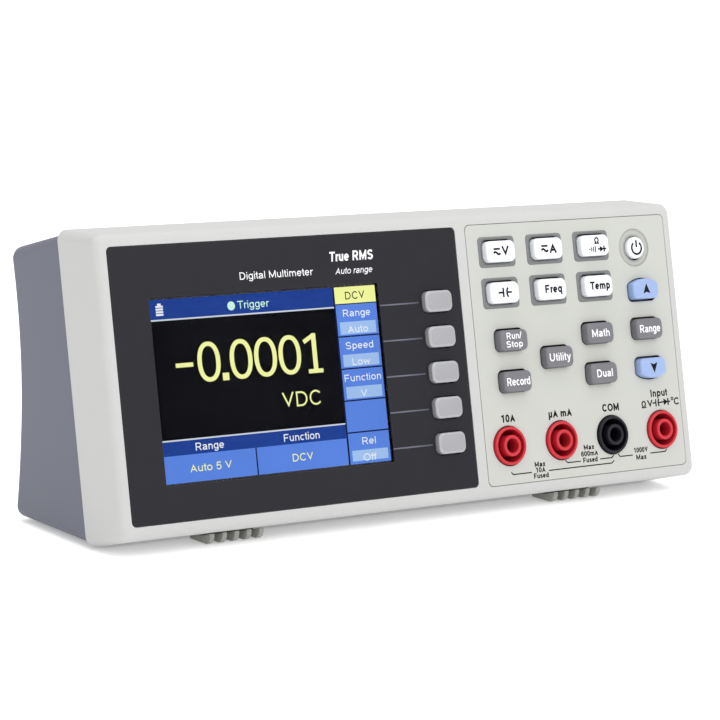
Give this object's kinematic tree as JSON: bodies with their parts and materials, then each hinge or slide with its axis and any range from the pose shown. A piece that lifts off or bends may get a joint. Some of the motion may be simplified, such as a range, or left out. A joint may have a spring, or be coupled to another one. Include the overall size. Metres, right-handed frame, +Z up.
{
  "type": "bench multimeter",
  "caption": "Compact bench multimeter with a lean-back face: colour display with soft keys, sprung keypad, shrouded input sockets, tilt feet and rear power and data ports.",
  "frame": {"origin": "centre of the bounding box's underside, on the table the instrument stands on", "axes": "+X along the width, to the user's right; +Y from the face to the rear; +Z up. The face leans back 12.4 degrees"},
  "size_m": [0.2, 0.064, 0.0842],
  "materials": {
    "bezel": "fine satin texture",
    "slate": "fine matte texture",
    "black": "smooth satin film",
    "clear": "clear",
    "screen": "smooth",
    "steel": "satin",
    "film": "fine matte film",
    "silicone": "matte",
    "board": "solder mask",
    "rubber": "matte",
    "fuse_glass": "clear",
    "jack_black": "semi-gloss",
    "cell": "shrink wrap",
    "white": "satin",
    "blue": "satin",
    "foot": "satin",
    "softkey": "satin",
    "grey": "satin",
    "red": "semi-gloss",
    "brass": "plated"
  },
  "bodies": {
    "case": {"battery_cell": "cell", "battery_holder": "jack_black", "buzzer": "rubber", "case_screw_1": "steel", "case_screw_2": "steel", "case_screw_3": "steel", "case_screw_4": "steel", "dc_jack": "jack_black", "display_lens": "clear", "display_overlay": "black", "foot_pin_left": "steel", "foot_pin_right": "steel", "front_bezel": "bezel", "fuse_10a": "fuse_glass", "fuse_600ma": "fuse_glass", "fuse_holder_10a": "steel", "fuse_holder_600ma": "steel", "jack_contact_10a": "brass", "jack_contact_com": "brass", "jack_contact_input": "brass", "jack_contact_milliamp": "brass", "jack_housing_10a": "red", "jack_housing_com": "jack_black", "jack_housing_input": "red", "jack_housing_milliamp": "red", "key_pcb": "board", "keypad_film": "film", "keypad_mat": "silicone", "lcd_frame": "steel", "lcd_panel": "screen", "main_pcb": "board", "rear_cover": "slate", "rear_foot_left": "rubber", "rear_foot_right": "rubber", "softkey_mat": "silicone", "usb_port": "steel"},
    "softkey_1": {"softkey_1": "softkey"},
    "softkey_2": {"softkey_2": "softkey"},
    "softkey_3": {"softkey_3": "softkey"},
    "softkey_4": {"softkey_4": "softkey"},
    "softkey_5": {"softkey_5": "softkey"},
    "key_arrow_down": {"key_arrow_down": "blue"},
    "key_arrow_up": {"key_arrow_up": "blue"},
    "key_capacitance": {"key_capacitance": "white"},
    "key_current": {"key_current": "white"},
    "key_dual": {"key_dual": "grey"},
    "key_frequency": {"key_frequency": "white"},
    "key_math": {"key_math": "grey"},
    "key_range": {"key_range": "grey"},
    "key_record": {"key_record": "grey"},
    "key_resistance": {"key_resistance": "white"},
    "key_run_stop": {"key_run_stop": "grey"},
    "key_temperature": {"key_temperature": "white"},
    "key_utility": {"key_utility": "grey"},
    "key_voltage": {"key_voltage": "white"},
    "power_button": {"power_button": "white"},
    "tilt_foot_left": {"tilt_foot_left": "foot"},
    "tilt_foot_right": {"tilt_foot_right": "foot"}
  },
  "joints": [
    {"name": "softkey_1_press", "type": "slide", "parent": "case", "child": "softkey_1", "axis": [0, 0.9767, -0.2147], "range_m": [0, 0.001], "stiffness_N_per_m": 900, "springref_m": -0.0003},
    {"name": "softkey_2_press", "type": "slide", "parent": "case", "child": "softkey_2", "axis": [0, 0.9767, -0.2147], "range_m": [0, 0.001], "stiffness_N_per_m": 900, "springref_m": -0.0003},
    {"name": "softkey_3_press", "type": "slide", "parent": "case", "child": "softkey_3", "axis": [0, 0.9767, -0.2147], "range_m": [0, 0.001], "stiffness_N_per_m": 900, "springref_m": -0.0003},
    {"name": "softkey_4_press", "type": "slide", "parent": "case", "child": "softkey_4", "axis": [0, 0.9767, -0.2147], "range_m": [0, 0.001], "stiffness_N_per_m": 900, "springref_m": -0.0003},
    {"name": "softkey_5_press", "type": "slide", "parent": "case", "child": "softkey_5", "axis": [0, 0.9767, -0.2147], "range_m": [0, 0.001], "stiffness_N_per_m": 900, "springref_m": -0.0003},
    {"name": "key_arrow_down_press", "type": "slide", "parent": "case", "child": "key_arrow_down", "axis": [0, 0.9767, -0.2147], "range_m": [0, 0.001], "stiffness_N_per_m": 900, "springref_m": -0.0003},
    {"name": "key_arrow_up_press", "type": "slide", "parent": "case", "child": "key_arrow_up", "axis": [0, 0.9767, -0.2147], "range_m": [0, 0.001], "stiffness_N_per_m": 900, "springref_m": -0.0003},
    {"name": "key_capacitance_press", "type": "slide", "parent": "case", "child": "key_capacitance", "axis": [0, 0.9767, -0.2147], "range_m": [0, 0.001], "stiffness_N_per_m": 900, "springref_m": -0.0003},
    {"name": "key_current_press", "type": "slide", "parent": "case", "child": "key_current", "axis": [0, 0.9767, -0.2147], "range_m": [0, 0.001], "stiffness_N_per_m": 900, "springref_m": -0.0003},
    {"name": "key_dual_press", "type": "slide", "parent": "case", "child": "key_dual", "axis": [0, 0.9767, -0.2147], "range_m": [0, 0.001], "stiffness_N_per_m": 900, "springref_m": -0.0003},
    {"name": "key_frequency_press", "type": "slide", "parent": "case", "child": "key_frequency", "axis": [0, 0.9767, -0.2147], "range_m": [0, 0.001], "stiffness_N_per_m": 900, "springref_m": -0.0003},
    {"name": "key_math_press", "type": "slide", "parent": "case", "child": "key_math", "axis": [0, 0.9767, -0.2147], "range_m": [0, 0.001], "stiffness_N_per_m": 900, "springref_m": -0.0003},
    {"name": "key_range_press", "type": "slide", "parent": "case", "child": "key_range", "axis": [0, 0.9767, -0.2147], "range_m": [0, 0.001], "stiffness_N_per_m": 900, "springref_m": -0.0003},
    {"name": "key_record_press", "type": "slide", "parent": "case", "child": "key_record", "axis": [0, 0.9767, -0.2147], "range_m": [0, 0.001], "stiffness_N_per_m": 900, "springref_m": -0.0003},
    {"name": "key_resistance_press", "type": "slide", "parent": "case", "child": "key_resistance", "axis": [0, 0.9767, -0.2147], "range_m": [0, 0.001], "stiffness_N_per_m": 900, "springref_m": -0.0003},
    {"name": "key_run_stop_press", "type": "slide", "parent": "case", "child": "key_run_stop", "axis": [0, 0.9767, -0.2147], "range_m": [0, 0.001], "stiffness_N_per_m": 900, "springref_m": -0.0003},
    {"name": "key_temperature_press", "type": "slide", "parent": "case", "child": "key_temperature", "axis": [0, 0.9767, -0.2147], "range_m": [0, 0.001], "stiffness_N_per_m": 900, "springref_m": -0.0003},
    {"name": "key_utility_press", "type": "slide", "parent": "case", "child": "key_utility", "axis": [0, 0.9767, -0.2147], "range_m": [0, 0.001], "stiffness_N_per_m": 900, "springref_m": -0.0003},
    {"name": "key_voltage_press", "type": "slide", "parent": "case", "child": "key_voltage", "axis": [0, 0.9767, -0.2147], "range_m": [0, 0.001], "stiffness_N_per_m": 900, "springref_m": -0.0003},
    {"name": "power_button_press", "type": "slide", "parent": "case", "child": "power_button", "axis": [0, 0.9767, -0.2147], "range_m": [0, 0.001], "stiffness_N_per_m": 900, "springref_m": -0.0003},
    {"name": "tilt_foot_left_hinge", "type": "hinge", "parent": "case", "child": "tilt_foot_left", "pos_m": [-0.05935, -0.01154, 0.0039], "axis": [1, 0, 0], "range_deg": [0, 80]},
    {"name": "tilt_foot_right_hinge", "type": "hinge", "parent": "case", "child": "tilt_foot_right", "pos_m": [0.05935, -0.01154, 0.0039], "axis": [1, 0, 0], "range_deg": [0, 80]}
  ]
}
